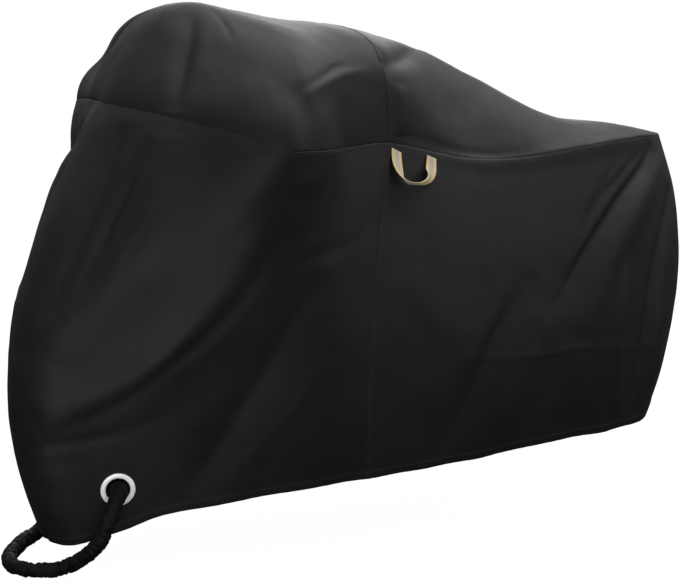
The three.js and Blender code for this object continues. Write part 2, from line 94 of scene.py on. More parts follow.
# A fold or crease: the width at its two ends, its rise, and its path through places of station and height.
# Heights are percent: 0 is the hem, 100 the seam round the top, 200 the ridge. A sharp fold is peaked.
Fold = namedtuple("Fold", "width rise path sharp", defaults=(False,))
FOLDS = {
    "front ridge": Fold((46, 60), 18, ((3.45, 88), (3.2, 63), (2.74, 46), (2.15, 37), (0.9, 30))),
    "trough under it": Fold((26, 32), -5, ((3.7, 78), (3.35, 57), (2.84, 41), (2.24, 32), (0.9, 25))),
    "second ridge": Fold((30, 38), 3, ((3.9, 70), (3.3, 46), (2.75, 34), (2.1, 25))),
    "side trough": Fold((46, 50), -11, ((4.5, 66), (4.06, 47), (3.55, 16), (3.35, 4))),
    "ridge behind it": Fold((45, 55), 3, ((4.95, 48), (4.44, 28), (3.7, 4))),
    "cheek swell": Fold((55, 85), 12, ((1.35, 97), (2, 72), (1.4, 44))),
    "left bar swell": Fold((110, 110), 24, ((-0.7, 100), (0.8, 100), (2.1, 100), (3.4, 100), (4.9, 100))),
    "nose drag, first": Fold((28, 40), -14, ((0.5, 97), (0.74, 84), (0.89, 70), (0.84, 54))),
    "nose drag, second": Fold((24, 34), -12, ((1.12, 95), (1.24, 81), (1.34, 70), (1.28, 57))),
    "tail drag": Fold((22, 40), -9, ((10.34, 97), (9.25, 83), (8.6, 68), (7.9, 44))),
    "tail swell": Fold((30, 64), 12, ((10.8, 93), (9.7, 81), (9.05, 67), (8.65, 52), (8.4, 36))),
    "tail upright trough": Fold((26, 32), -14, ((10.6, 82), (9.98, 67), (9.64, 50), (9.46, 26), (9.4, 4))),
    "tail upright ridge": Fold((24, 32), 9, ((9.15, 62), (8.97, 44), (8.94, 27), (9.05, 6))),
    "low rear trough": Fold((32, 40), -9, ((7.8, 62), (7.1, 36), (6.7, 4))),
    "low rear ridge": Fold((50, 60), 6, ((8.2, 56), (7.65, 30), (7.25, 6))),
    "seat seam roll": Fold((22, 22), 6, ((6.1, 99), (8.3, 99), (10.6, 99))),
    "hood middle crease": Fold((24, 28), -8, ((1.82, 186), (1.33, 148), (1.2, 108))),
    "left hood dip": Fold((70, 75), -15, (
        (2.6, 195), (2.8, 168), (3, 146), (3.2, 128), (3.5, 105), (3.7, 92))),
    "hood shoulder": Fold((28, 38), 3, ((6.02, 140), (5.66, 133), (5.23, 132), (4.5, 128), (3.7, 122))),
    "seat front lip": Fold((26, 26), 8, ((6.2, 104), (6.22, 116), (6.24, 132))),
    "seat front crease": Fold((30, 26), -10, ((7.2, 197), (6.52, 164), (6, 137))),
    "right front ridge": Fold((48, 66), 19, ((-3.7, 93), (-2.7, 56), (-1.5, 36))),
    "right trough under it": Fold((32, 40), -16, ((-3.8, 72), (-2.9, 41), (-1.7, 22))),
    "right side trough": Fold((58, 64), -17, ((-5.6, 74), (-4.7, 42), (-4.2, 6))),
    "right cheek hollow": Fold((62, 80), -13, ((-1.6, 99), (-1.9, 78), (-1.5, 56))),
    "right hollow": Fold((56, 66), -22, ((-0.7, 95), (-1.7, 89), (-3.2, 86))),
    "right nose drag": Fold((26, 36), -12, ((-1.3, 96), (-1.2, 78), (-0.8, 56))),
    "right hood dip": Fold((66, 66), -23, ((-3.6, 134), (-2.6, 136), (-1.6, 138))),
    "right hood shoulder": Fold((28, 38), -11, ((-5.9, 146), (-4.7, 133), (-3.2, 114))),
    "right seat crease": Fold((26, 32), -10, ((-6.2, 145), (-6.8, 162), (-7.5, 184))),
    "right seat seam roll": Fold((22, 22), 6, ((-6.2, 99), (-8.3, 99), (-10.5, 99))),
    "right tail drag": Fold((26, 36), -13, ((-10.9, 97), (-9.5, 76), (-8.7, 52))),
    "right tail swell": Fold((34, 66), 11, ((-10.7, 88), (-9.3, 58), (-8.6, 30))),
    "right tail upright": Fold((26, 32), -10, ((-10.6, 74), (-10.1, 42), (-9.9, 8))),
    "right low rear trough": Fold((44, 50), -14, ((-8.4, 56), (-8.1, 34), (-7.7, 5))),
}

# Finer creases of the cloth, in the same columns.
CREASES = {
    "nose line first": Fold((10, 14), -4, ((0.55, 94), (0.74, 84), (0.89, 70), (0.86, 57))),
    "nose rib": Fold((16, 18), 4, ((0.88, 91), (1, 80), (1.08, 68))),
    "nose line second": Fold((10, 14), -5, ((1.12, 93), (1.22, 82), (1.32, 71), (1.27, 60))),
    "cheek rib first": Fold((9, 11), 3, ((1.36, 92), (1.46, 80), (1.5, 70))),
    "cheek rib second": Fold((9, 11), 3, ((1.62, 90), (1.74, 79), (1.7, 68))),
    "front crest": Fold((20, 26), 4, ((3.22, 63), (2.8, 46.5), (2.34, 38), (1.6, 33))),
    "front trough core": Fold((10, 15), -3, ((3.6, 74), (3.35, 58), (2.8, 42), (2.2, 33), (1.2, 27.5))),
    "front rib under it": Fold((14, 16), 2, ((3.85, 70), (3.46, 55), (3.16, 45), (2.68, 36), (2.09, 27))),
    "low front line": Fold((12, 16), -3, ((0, 23), (1.33, 25), (2.01, 25), (2.5, 26), (2.93, 29))),
    "low front rib": Fold((20, 20), 2, ((0.1, 17), (0.8, 16.5), (1.46, 18))),
    "bar diagonal": Fold((20, 20), -3, ((5.81, 75), (4.45, 70), (3.8, 68))),
    "side trough core": Fold((20, 18), -3, ((4.5, 63), (4.06, 47), (3.82, 33), (3.53, 16), (3.33, 6))),
    "side rib": Fold((20, 22), 2, ((4.82, 42), (4.44, 28), (3.99, 15), (3.64, 4))),
    "tail line first": Fold((9, 12), -5, ((10.34, 97), (9.25, 83), (8.6, 68), (8, 47.5))),
    "tail rib": Fold((10, 14), 4, ((9.97, 95), (9.1, 83.5), (8.65, 73.5), (8.25, 62))),
    "tail line second": Fold((9, 12), -4, ((9.86, 96), (9.04, 86), (8.73, 80), (8.45, 72))),
    "tail band": Fold((16, 24), 3, ((10.69, 92), (9.82, 85), (9, 69), (8.6, 54))),
    "tail line third": Fold((10, 12), -3, ((9.25, 94), (8.84, 85), (8.54, 76))),
    "tail upright rib": Fold((13, 14), 4, ((9.1, 60), (8.96, 46), (8.94, 29), (9.05, 8))),
    "tail upright line": Fold((12, 13), -5, ((10.56, 80), (9.98, 67), (9.64, 51), (9.47, 30), (9.42, 9))),
    "tail thin upright": Fold((8, 8), 3, ((9.89, 43), (9.71, 30), (9.78, 15))),
    "tail corner line": Fold((14, 14), -4, ((11, 82), (10.25, 71), (9.92, 62))),
    "packing crease": Fold((6, 6), 2.8, (
        (6.7, 35.5), (7.47, 34), (7.94, 33), (8.4, 33), (8.92, 30), (10.3, 25)), sharp=True),
    "rear diagonal": Fold((14, 18), -2, ((7.64, 55), (7.24, 44), (7.03, 31), (6.84, 15), (6.7, 5))),
    "seam bulge": Fold((50, 50), 4, ((6.3, 64), (6.55, 52), (6.7, 40))),
    "hood middle line": Fold((16, 20), -3, ((1.82, 184), (1.33, 148), (1.22, 110))),
    "hood pleat": Fold((9, 10), -4, ((3.16, 190), (2.85, 176), (2.59, 162))),
    "seat front line": Fold((12, 14), -3, ((7.09, 195.6), (6.52, 163.2), (6.06, 138.4))),
    "hood shoulder line": Fold((7, 11), -3, ((5.3, 140), (4.88, 137.2), (4.31, 130.4), (3.62, 124.8))),
    "hood shoulder rib": Fold((10, 12), 3, ((5.66, 136), (5.1, 133.5), (4.5, 129), (3.8, 123.5))),
    "seat roll line": Fold((14, 16), -4, ((6.2, 104), (6.98, 109), (7.63, 109), (8.3, 108))),
    "tail pleat": Fold((9, 10), -3, ((8.72, 145), (8.84, 125), (8.95, 108))),
    "right nose line": Fold((10, 13), -4, ((-0.5, 94), (-0.6, 80), (-0.5, 60))),
    "right cheek line": Fold((10, 14), -5, ((-1.3, 94), (-1.25, 80), (-0.95, 60))),
    "right cheek rib": Fold((12, 14), 3, ((-1.7, 92), (-1.75, 76), (-1.5, 62))),
    "right front core": Fold((11, 16), -6, ((-3.7, 74), (-3.3, 53), (-2.7, 39), (-1.6, 24))),
    "right front rib": Fold((14, 18), 4, ((-4.1, 72), (-3.5, 48), (-2.9, 30), (-2.3, 20))),
    "right bar diagonal": Fold((18, 20), -5, ((-5.6, 82), (-4.6, 74), (-3.9, 70))),
    "right side core": Fold((18, 20), -5, ((-5.5, 70), (-4.8, 46), (-4.3, 10))),
    "right side rib": Fold((18, 22), 4, ((-5.2, 44), (-4.9, 24), (-4.7, 5))),
    "right tail line first": Fold((9, 13), -5, ((-10.6, 97), (-9.6, 82), (-8.9, 62))),
    "right tail rib": Fold((11, 16), 4, ((-10.2, 94), (-9.2, 74), (-8.5, 50))),
    "right tail line second": Fold((9, 13), -4, ((-9.5, 95), (-8.9, 80), (-8.3, 62))),
    "right tail upright line": Fold((12, 13), -5, ((-10.1, 56), (-9.8, 32), (-9.7, 5))),
    "right tail upright rib": Fold((12, 14), 4, ((-9.5, 60), (-9.3, 34), (-9.25, 10))),
    "right packing crease": Fold((6, 6), 2.8, (
        (-6.6, 36), (-7.8, 33.5), (-8.9, 30), (-10.2, 25)), sharp=True),
    "right rear diagonal": Fold((14, 18), -5, ((-8.4, 54), (-8.05, 30), (-7.7, 4))),
    "right hood pleat": Fold((9, 11), -4, ((-2.6, 184), (-2.3, 160), (-2.2, 134))),
    "right shoulder line": Fold((11, 14), -4, ((-5.9, 146), (-4.7, 134), (-3.2, 113))),
    "right seat line": Fold((10, 12), -5, ((-6.2, 145), (-6.8, 162), (-7.4, 184))),
    "tail back line first": Fold((10, 13), -4, ((11.6, 97), (11.5, 78), (11.7, 58))),
    "tail back line second": Fold((10, 14), -4, ((12.5, 97), (12.45, 72), (12.2, 46))),
    "tail back rib": Fold((14, 18), 4, ((12.1, 94), (12.05, 70), (11.8, 40))),
}

# The lock rope's route through both eyelets and round the nose.
ROPE_ROUTE = [
    (-706, 0, 197), (-707, -45, 200), (-711, -80, 203), (-722, -101, 202), (-741, -115, 199),
    (-751, -133, 195), (-762, -155, 190), (-780, -167, 175), (-797, -175, 153), (-813, -177, 124),
    (-827, -170, 91), (-841, -150, 63), (-851, -124, 43), (-862, -98, 27), (-881, -86, 20),
    (-905, -80, 19), (-939, -54, 19), (-951, -9, 19), (-940, 36, 19), (-913, 80, 19),
    (-875, 125, 19), (-837, 162, 19), (-790, 204, 19), (-744, 232, 21), (-708, 243, 40),
    (-697, 240, 82), (-712, 228, 128), (-738, 205, 164), (-758, 183, 181), (-763, 158, 187),
    (-751, 134, 191), (-741, 115, 196), (-722, 101, 201), (-711, 80, 203), (-707, 45, 200),
    (-706, 0.6, 197),
]

# How closely folds and creases are followed, how they fade to their ends, and how many widths they reach.
FOLD_STEPS = 12
CREASE_STEPS = 20
FOLD_FADE = 0.7
FOLD_REACH = 3

# The cloth's lattice: rows up the sides and over the top, columns for each cell of a station.
SIDE_ROWS = 128
TOP_ROWS = 56
COLUMNS_PER_CELL = 7
ROW_CROWDING = 0.72
COLUMN_CROWDING = 0.75
SLOPE_STEP = 0.02

CLOTH_THICK = 0.0014
CROSS_SEAM = list(STATIONS).index("cross seam")
TAIL = len(STATIONS) - 1

# Flat cut of each panel: width, length and area.
CUTS = dict(
    hood_panel=Sizes(flat=(0.66, 1.75), area=0.59),
    seat_panel=Sizes(flat=(0.74, 1.2), area=0.57),
    front_panel=Sizes(flat=(1.05, 2.5), area=1.62),
    rear_panel=Sizes(flat=(0.86, 2.95), area=1.96),
)

# Sewn edges: the turned band's side, width and rise, the depth of the seam line, the pull of the thread, how
# softly both fade, and the distances of the rows of stitches, which sink by a part of the pull.
Band = namedtuple("Band", "side wide rise seam pull soft stitch")
EDGE_BAND = Band(-1, 0.009, 0.0004, 0.0004, 0.0004, 0.003, (-0.0065,))
CROSS_BAND = Band(1, 0.012, 0.0009, 0.0004, 0.0004, 0.003, (0.0025, 0.0095))
HEM_BAND = Band(1, 0.021, 0.001, 0, 0.0007, 0.002, (0.018,))
BAND_SOFT = 0.0018
PULL_PARTS = 3
PUCKER = Sizes(rise=0.0004, fade=0.028, pitches=(0.034, 0.053))
HEM_WAVE = Sizes(rise=0.003, fade=0.07, pitches=(0.19, 0.31))
# The two waves of a pucker, each with a phase that wanders along the seam.
RIPPLES = (Sizes(size=1, wander=0.9, pace=7.1, start=0), Sizes(size=0.6, wander=1.7, pace=3.3, start=1))
UNEVEN = (Sizes(size=0.16, rise=0.0035), Sizes(size=0.06, rise=0.0012))

# Stitches: rings along one as shares of its length, its thickness and its drop; cells searched for a line.
THREAD = Sizes(pitch=0.0052, long=0.0038, thick=0.0012, lift=0.0002)
STITCH_RINGS = ((-0.5, 0.35, -0.7), (-0.3, 1, 0), (0.3, 1, 0), (0.5, 0.35, -0.7))
STITCH_SIDES = 4
STITCH_CELLS = 4

EYELETS = ("eyelet_left", "eyelet_right")
EYELET_SIDES = 64
EYELET_HOLE = dict(radius=0.031, depth=0.05)
EYELET_FLAT = (0.048, 0.08)
MERGE_GAP = 1e-6
NEVER_ZERO = 1e-12
# Section of an eyelet as radius and height over the cloth's middle, once round from the throat.
EYELET_SECTION = [
    (0.0285, 0), (0.0285, 0.0018), (0.0292, 0.0032), (0.031, 0.0043), (0.0342, 0.0048), (0.0374, 0.0043),
    (0.0398, 0.0028), (0.041, 0.001), (0.0402, 0.0008), (0.0305, 0.0008), (0.0305, -0.0008),
    (0.0402, -0.0008), (0.041, -0.001), (0.0398, -0.0024), (0.0374, -0.0033), (0.0342, -0.0036),
    (0.031, -0.0032), (0.0292, -0.0024), (0.0285, -0.0014),
]

# The pull loop's webbing, hung by its two ends under the seat seam.
LOOP = Sizes(first=6.12, second=6.567, drift=-0.045, height=0.98, reach=0.093, wide=0.034, thick=0.0018,
             proud=0.019, clearance=0.0038, fullness=0.8, lean=1.3, late=0.95, slant=0.98, twist=2.5,
             steps=72, across=14, stripe=(0.2, 0.23))

ROPE = Sizes(radius=0.017, sides=36, rings=620, steps=40, gather=0.011, gather_round=0.7,
             gather_rise=0.0034, lump=0.035, lump_rise=0.0022, bunch=0.02, bunch_rise=0.004)

FLOOR_SIZE = 80
# Greys of the studio, as the camera sees them and as they light the cover.
FLOOR_GREY = dict(seen=0.05, lit=0.06)
FLOOR_GLOW = dict(seen=0.985, lit=0)
WORLD_GREY = dict(seen=1, lit=0.36)
# Softboxes: the place of each, the point it is turned to, the side of its square and its power in watts.
Softbox = namedtuple("Softbox", "place aim side power")
SOFTBOXES = {
    "overhead": Softbox((0.45, 0.1, 3), (0.45, 0, -0.4), 4, 172),
    "above_tail": Softbox((2.6, 0, 1.8), (0.7, 0, -0.4), 2.2, 58),
    "above_back": Softbox((1.2, 2.6, 2), (0.6, 0, -0.3), 2.6, 14),
    "far_side": Softbox((2.6, 2.7, 0.3), (0.7, 0, -0.7), 1.8, 54),
    "low_front": Softbox((-1.2, -1.9, -1.05), (-0.1, -0.3, -0.8), 0.9, 16),
    "low_left": Softbox((-1.6, -1.2, -1), (-0.3, -0.2, -0.8), 0.9, 11),
    "tail_side": Softbox((2.6, -2.2, -0.2), (1, -0.2, -0.8), 1.8, 12),
}


# Lines and grids of points

def unit_rows(ways):
    """Each row at length 1."""
    return ways / np.linalg.norm(ways, axis=-1, keepdims=True)


def run_lengths(points, axis=0):
    """Lengths from the first point along a line of points, or along each line of a grid."""
    steps = np.linalg.norm(np.diff(points, axis=axis), axis=-1)
    return np.insert(np.cumsum(steps, axis=axis), 0, 0, axis=axis)


def rows_at(spots, length, rows):
    """The rows of a line at given lengths along it."""
    return np.stack([np.interp(spots, length, column) for column in rows.T], axis=1)


def soft_step(share):
    """From 0 to 1 with soft ends, as a share goes from 0 to 1."""
    share = np.clip(share, 0, 1)
    return share * share * (3 - 2 * share)


def numbered(shape):
    """A grid of point numbers."""
    return np.arange(math.prod(shape)).reshape(shape)


def bent_run(start, end, out, into, share):
    """The smooth run that leaves its start and reaches its end in given ways, at a share of its length."""
    bend = 3 * (end - start) - 2 * out - into
    return start + share * (out + share * (bend + share * (out + into - 2 * (end - start))))


def smooth_pass(before, start, end, after, share):
    """The centripetal Catmull-Rom piece from start to end, at a share of its length."""
    def root_gap(one, other):
        gap = np.sum((one - other) ** 2, -1, keepdims=True) ** 0.25
        return np.where(gap < NEVER_ZERO, 1, gap)

    first, middle, last = root_gap(before, start), root_gap(start, end), root_gap(end, after)
    out = ((start - before) / first - (end - before) / (first + middle) + (end - start) / middle) * middle
    into = ((end - start) / middle - (after - start) / (middle + last) + (after - end) / last) * middle
    return bent_run(start, end, out, into, share)


# Draped form

def in_frame(points):
    """Points of the tables in the frame."""
    return (np.array(points, float) - HOOD_CROWN) / MM_IN_METRE


def closed_line(point_of):
    """One line of the form right round the cover: the left half to the tail, then the right half back."""
    rows = list(STATIONS.values())
    left = [point_of(row, -1) for row in rows]
    right = [point_of(row, 1) for row in reversed(rows[1:TAIL])]
    return np.array(left + right, float)


def wide_line(key, shift=lambda row, side: 0):
    """The line through one column of the stations, in the frame, with what a side adds to its height."""
    def point_of(row, side):
        x, out, z = getattr(row, key)
        return x, side * out, z + shift(row, side)

    return in_frame(closed_line(point_of))


EDGE_LINE = wide_line("edge", lambda row, side: side * row.cant)
BELLY_LINE = wide_line("belly")
HEM_LINE = wide_line("hem", lambda row, side: -row.sag if side > 0 else 0)
RIDGE_LINE = in_frame(closed_line(lambda row, side: (row.ridge[0], 0, row.ridge[1])))
SHAPE_LINE = closed_line(lambda row, side: (row.roof, row.wall, 0))


def on_line(line, station):
    """The point of a closed line at a station; negative stations are on the right half."""
    turn = np.mod(station, len(line))
    first = np.floor(turn).astype(int)
    corners = [line[(first + step) % len(line)] for step in (-1, 0, 1, 2)]
    return smooth_pass(*corners, (turn - first)[..., None])


def form(station, height):
    """A point of the bare form: height 0 is the hem, 1 the seam round the top, 2 the ridge."""
    lines = (EDGE_LINE, BELLY_LINE, HEM_LINE, RIDGE_LINE, SHAPE_LINE)
    edge, belly, hem, ridge, shape = (on_line(line, np.asarray(station, float)) for line in lines)
    up = np.asarray(height, float)[..., None]
    share = (edge - belly)[..., 2:] / (edge - hem)[..., 2:]
    pull = (belly - (1 - share) ** 2 * edge - share ** 2 * hem) / (2 * share * (1 - share))
    side = (1 - up) ** 2 * hem + 2 * up * (1 - up) * pull + up ** 2 * edge
    rise = (ridge - edge)[..., 2:]
    wall = edge + np.array((0, 0, 1)) * rise * shape[..., 1:2]
    level = ridge + (edge - ridge) * shape[..., :1]
    level[..., 2:] = ridge[..., 2:]
    over = up - 1
    top = (1 - over) ** 3 * edge + 3 * over * (1 - over) ** 2 * wall
    top = top + 3 * over ** 2 * (1 - over) * level + over ** 3 * ridge
    return np.where(up <= 1, side, top)


def path_places(path, count):
    """Places evenly along a smooth path of station and height in percent."""
    places = np.array(path, float) / (1, 100)
    last = len(places) - 1
    turn = np.linspace(0, last, count)
    first = np.minimum(np.floor(turn).astype(int), last)
    before, start, end, after = (places[np.clip(first + step, 0, last)] for step in (-1, 0, 1, 2))
    return bent_run(start, end, (end - before) / 2, (after - start) / 2, (turn - first)[:, None])


def fold_rise(points, folds, steps):
    """How far the folds lift or sink each point of the form."""
    rise = np.zeros(len(points))
    for fold in folds.values():
        line = form(*path_places(fold.path, steps + 1).T)
        first, last = (wide / MM_IN_METRE for wide in fold.width)
        reach = FOLD_REACH * max(first, last)
        near = np.all((points > line.min(0) - reach) & (points < line.max(0) + reach), axis=1)
        spots = points[near]
        away = np.full(len(spots), np.inf)
        along = np.zeros(len(spots))
        for step in range(steps):
            start, run = line[step], line[step + 1] - line[step]
            share = np.clip((spots - start) @ run / (run @ run), 0, 1)
            gap = np.linalg.norm(spots - start - share[:, None] * run, axis=1)
            along = np.where(gap < away, (step + share) / steps, along)
            away = np.minimum(away, gap)
        spread = away / (first + (last - first) * along)
        section = np.exp(-spread) if fold.sharp else np.exp(-spread ** 2)
        rise[near] += fold.rise / MM_IN_METRE * section * np.sin(np.pi * along) ** FOLD_FADE
    return rise


# Cloth lattice

def column_stations():
    """Stations right round, crowded beside the cross seam."""
    counts = [row.cells * COLUMNS_PER_CELL for row in STATIONS.values()][:TAIL]
    left = np.concatenate([index + np.arange(count) / count for index, count in enumerate(counts)])
    away = np.clip(left - CROSS_SEAM, -1, 1)
    left = left - away * COLUMN_CROWDING * np.cos(np.pi * away / 2) ** 2
    return np.concatenate([left, [TAIL], -left[:0:-1]])


def row_heights():
    """Heights from hem to ridge, crowded beside the hem and the top seam."""
    side = np.linspace(0, 1, SIDE_ROWS + 1)
    side = side + ROW_CROWDING * ((1 - np.cos(np.pi * side)) / 2 - side)
    over = np.linspace(0, 1, TOP_ROWS + 1)[1:]
    return np.concatenate([side, 1 + over * (1 - ROW_CROWDING * (1 - over))])


def lattice_normals(points, index):
    """Outward normals of the lattice, smooth across the ridge."""
    flat = points.reshape(-1, 3)
    beside = np.roll(index, -1, axis=1)
    corners = [index[:-1], beside[:-1], beside[1:], index[1:]]
    a, b, c, d = (flat[corner] for corner in corners)
    facing = np.cross(c - a, d - b).reshape(-1, 3)
    normals = np.zeros_like(flat)
    for corner in corners:
        np.add.at(normals, corner.ravel(), facing)
    normals /= np.maximum(np.linalg.norm(normals, axis=1, keepdims=True), NEVER_ZERO)
    return normals[index]


def ripple(along, pitches):
    """An uneven wave along a seam, from -1 to 1."""
    total = 0
    for pitch, wave in zip(pitches, RIPPLES):
        wander = wave.wander * np.sin(along * wave.pace + wave.start)
        total = total + wave.size * np.sin(2 * np.pi * along / pitch + wander)
    return total / sum(wave.size for wave in RIPPLES)


def band_rise(distance, band):
    """The turned and stitched band on one side of a sewn line."""
    inner, outer = (soft_step((band.side * distance - at) / BAND_SOFT / 2 + 0.5) for at in (0, band.wide))
    rise = band.rise * (inner - outer)
    rise -= band.seam * np.exp(-(distance / band.soft) ** 2)
    for row in band.stitch:
        rise -= band.pull / PULL_PARTS * np.exp(-((distance - row) / band.soft) ** 2)
    return rise


def unevenness(points):
    """Slight swells of the cloth between its folds."""
    rise = np.zeros(len(points))
    for swell in UNEVEN:
        rise += swell.rise * np.array([noise.noise(Vector(point / swell.size)) for point in points])
    return rise


class Lattice:
    """The draped cloth as rows and columns of points, with distances from its seams."""

    def __init__(self):
        self.columns = column_stations()
        heights = row_heights()
        self.index = numbered((len(heights), len(self.columns)))
        half = len(self.columns) // 2
        # The two halves share their points on the ridge.
        self.index[-1, half + 1:] = self.index[-1, 1:half][::-1]
        self.left = int(np.argmin(np.abs(self.columns - CROSS_SEAM)))
        self.right = len(self.columns) - self.left
        bare = form(self.columns[None], heights[:, None])
        self.measure(bare)
        out = lattice_normals(bare, self.index)
        rise = self.folds(bare) + self.sewing() + CLOTH_THICK / 2
        self.points = bare + out * rise[..., None]
        for node in EYELETS:
            self.flatten(*eyelet_place(node))
        self.normals = lattice_normals(self.points, self.index)

    def measure(self, bare):
        """Lengths over the cloth: from the hem, from the top seam and from the cross seam."""
        self.climbed = run_lengths(bare)
        steps = np.linalg.norm(np.roll(bare, -1, axis=1) - bare, axis=2)
        self.travelled = np.cumsum(steps, axis=1) - steps
        self.from_edge = self.climbed - self.climbed[SIDE_ROWS]
        behind_left = self.travelled - self.travelled[:, self.left, None]
        behind_right = self.travelled[:, self.right, None] - self.travelled
        nearer = np.abs(behind_left) < np.abs(behind_right)
        self.from_cross = np.where(nearer, behind_left, behind_right)

    def folds(self, bare):
        """The folds, creases and swells."""
        flat = bare.reshape(-1, 3)
        rise = fold_rise(flat, FOLDS, FOLD_STEPS) + fold_rise(flat, CREASES, CREASE_STEPS) + unevenness(flat)
        return rise[self.index]

    def sewing(self):
        """The relief of the seams and the hem, with the puckers beside them."""
        rise = np.zeros_like(self.climbed)
        for band, away, along in ((EDGE_BAND, self.from_edge, self.travelled[SIDE_ROWS]),
                                  (CROSS_BAND, self.from_cross, self.climbed),
                                  (HEM_BAND, self.climbed, self.travelled[0])):
            fade = np.exp(-np.abs(away) / PUCKER.fade)
            rise += band_rise(away, band) + PUCKER.rise * fade * ripple(along, PUCKER.pitches)
        fade = np.exp(-self.climbed / HEM_WAVE.fade)
        return rise + HEM_WAVE.rise * fade * ripple(self.travelled[0], HEM_WAVE.pitches)

    def flatten(self, centre, axis):
        """Lays the cloth flat round an eyelet."""
        inner, outer = EYELET_FLAT
        away = self.points - np.array(centre)
        lift = away @ np.array(axis)
        share = soft_step((outer - np.linalg.norm(away, axis=2)) / (outer - inner))
        self.points -= np.array(axis) * ((lift - CLOTH_THICK / 2) * share)[..., None]


def eyelet_place(node):
    """Centre of an eyelet's solid and its axis, pointing out of the cover."""
    corners = np.array([vertex.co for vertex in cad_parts[node].data.vertices])
    low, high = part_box(node)
    centre = (low + high) / 2
    axis = Vector(np.linalg.svd(corners - corners.mean(0), full_matrices=False)[2][2])
    return centre, axis if axis.y * centre.y > 0 else -axis


def eyelet_matrix(node):
    """Moves what is made flat at the origin to an eyelet's place."""
    centre, axis = eyelet_place(node)
    return Matrix.Translation(centre) @ axis.to_track_quat("Z", "Y").to_matrix().to_4x4()


# Mesh making

def only(piece):
    """Selects one piece and nothing else."""
    bpy.ops.object.select_all(action="DESELECT")
    piece.select_set(True)
    bpy.context.view_layer.objects.active = piece


def mesh_piece(name, points, faces, corner_uv=None):
    """A new smooth piece from points and lists of face corners, with a UV for each corner if given."""
    mesh = bpy.data.meshes.new(name)
    mesh.from_pydata(points.tolist(), [], faces)
    if corner_uv is not None:
        layer = mesh.uv_layers.new(name="cloth_uv")
        layer.data.foreach_set("uv", np.asarray(corner_uv, np.float32).ravel())
    mesh.shade_smooth()
    piece = bpy.data.objects.new(name, mesh)
    bpy.context.scene.collection.objects.link(piece)
    return piece


def grid_faces(index):
    """Four-cornered faces of a grid of point numbers."""
    corners = (index[:-1, :-1], index[:-1, 1:], index[1:, 1:], index[1:, :-1])
    return np.stack(corners, axis=-1).reshape(-1, 4)


def finish_piece(piece, material, node=None):
    """Gives a piece its material and slot, lets it ride on the cover and hides the node it replaces."""
    piece.data.materials.clear()
    piece.data.materials.append(material)
    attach(piece, "root")
    if node:
        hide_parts(node)
    return piece


def apply_modifier(piece, kind, **values):
    """Adds a modifier, sets it and applies it."""
    only(piece)
    modifier = piece.modifiers.new(kind.lower(), kind)
    for key, value in values.items():
        setattr(modifier, key, value)
    bpy.ops.object.modifier_apply(modifier=modifier.name)


def panel(cloth, name, columns, rows):
    """One cut panel of the cloth, up to its seams, given its thickness."""
    points = cloth.points[rows][:, columns]
    index = cloth.index[rows][:, columns]
    first, local = np.unique(index, return_index=True, return_inverse=True)[1:]
    along = run_lengths(points, axis=1)
    along -= along[:, along.shape[1] // 2, None]
    uv = np.stack([along, cloth.climbed[rows][:, columns]], axis=-1)
    corners = grid_faces(numbered(index.shape))
    faces = local.reshape(-1)[corners].tolist()
    piece = mesh_piece(name, points.reshape(-1, 3)[first], faces, uv.reshape(-1, 2)[corners])
    apply_modifier(piece, "SOLIDIFY", thickness=CLOTH_THICK, offset=-1)
    return piece


def cut_eyelet_hole(piece, node):
    """Cuts the round hole of an eyelet through a panel."""
    bpy.ops.object.select_all(action="DESELECT")
    bpy.ops.mesh.primitive_cylinder_add(vertices=EYELET_SIDES, **EYELET_HOLE)
    punch = bpy.context.object
    punch.matrix_world = eyelet_matrix(node)
    apply_modifier(piece, "BOOLEAN", operation="DIFFERENCE", object=punch, solver="EXACT")
    bpy.data.objects.remove(punch)


# Sewing thread

def line_at(distance, wanted, points, normals):
    """The line over the cloth at a distance from a seam, with the ways out of it."""
    upper = np.clip((distance < wanted).sum(axis=0), 1, len(distance) - 1)
    column = np.arange(distance.shape[1])
    low, high = (upper - 1, column), (upper, column)
    share = ((wanted - distance[low]) / (distance[high] - distance[low]))[:, None]
    return [grid[low] * (1 - share) + grid[high] * share for grid in (points, normals)]


def seam_lines(cloth):
    """Lines of stitches by seam: round the top edge, up both cross seams and round the hem."""
    lines = dict(edge_stitching=[], cross_stitching=[], hem_stitching=[])
    for name, distance, band in (("edge_stitching", cloth.from_edge, EDGE_BAND),
                                 ("hem_stitching", cloth.climbed, HEM_BAND)):
        for row in band.stitch:
            line = line_at(distance, row, cloth.points, cloth.normals)
            lines[name].append([np.concatenate([part, part[:1]]) for part in line])
    reach = STITCH_CELLS * COLUMNS_PER_CELL
    for window in (slice(cloth.left - reach, cloth.left + reach),
                   slice(cloth.right + reach, cloth.right - reach, -1)):
        grids = [grid[:, window].swapaxes(0, 1) for grid in (cloth.from_cross, cloth.points, cloth.normals)]
        for row in CROSS_BAND.stitch:
            lines["cross_stitching"].append(line_at(grids[0], row, *grids[1:]))
    return lines


def stitches(points, normals):
    """Places, directions and ways out of the stitches along one line."""
    length = run_lengths(points)
    spots = np.arange(THREAD.pitch / 2, length[-1], THREAD.pitch)
    half = THREAD.long / 2
    along = rows_at(spots + half, length, points) - rows_at(spots - half, length, points)
    return rows_at(spots, length, points), unit_rows(along), unit_rows(rows_at(spots, length, normals))


